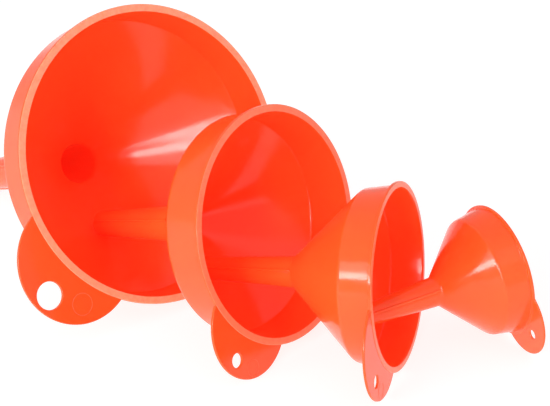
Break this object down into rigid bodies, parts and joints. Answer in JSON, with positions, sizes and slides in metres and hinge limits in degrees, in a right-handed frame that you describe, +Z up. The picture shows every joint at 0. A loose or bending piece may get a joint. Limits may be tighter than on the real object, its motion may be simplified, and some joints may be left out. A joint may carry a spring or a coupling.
{
  "type": "funnel set",
  "caption": "Nesting pouring funnels in orange plastic, each with a flat lip, short band, cone, ribbed spout and holed hanging tab, fanned out mouth up.",
  "frame": {"origin": "middle of the footprint, on the surface that the set lies on", "axes": "+Z up, +X along the fan from the largest funnel to the smallest, -Y the side that the mouths of the larger funnels face"},
  "size_m": [0.2486, 0.2246, 0.1197],
  "materials": {
    "largest_funnel_plastic": "glossy moulded polypropylene",
    "second_funnel_plastic": "glossy moulded polypropylene",
    "third_funnel_plastic": "glossy moulded polypropylene",
    "smallest_funnel_plastic": "glossy moulded polypropylene"
  },
  "bodies": {
    "largest_funnel": {"largest_funnel": "largest_funnel_plastic"},
    "second_funnel": {"second_funnel": "second_funnel_plastic"},
    "third_funnel": {"third_funnel": "third_funnel_plastic"},
    "smallest_funnel": {"smallest_funnel": "smallest_funnel_plastic"}
  },
  "joints": [
    {"name": "second_funnel_lift_off", "type": "slide", "parent": "largest_funnel", "child": "second_funnel", "axis": [0.7619, -0.5931, 0.2603], "range_m": [0, 0.056]},
    {"name": "third_funnel_lift_off", "type": "slide", "parent": "second_funnel", "child": "third_funnel", "axis": [0.9329, -0.3414, 0.1146], "range_m": [0, 0.05]},
    {"name": "smallest_funnel_lift_off", "type": "slide", "parent": "third_funnel", "child": "smallest_funnel", "axis": [0.9051, 0.4049, 0.1298], "range_m": [0, 0.042]}
  ]
}
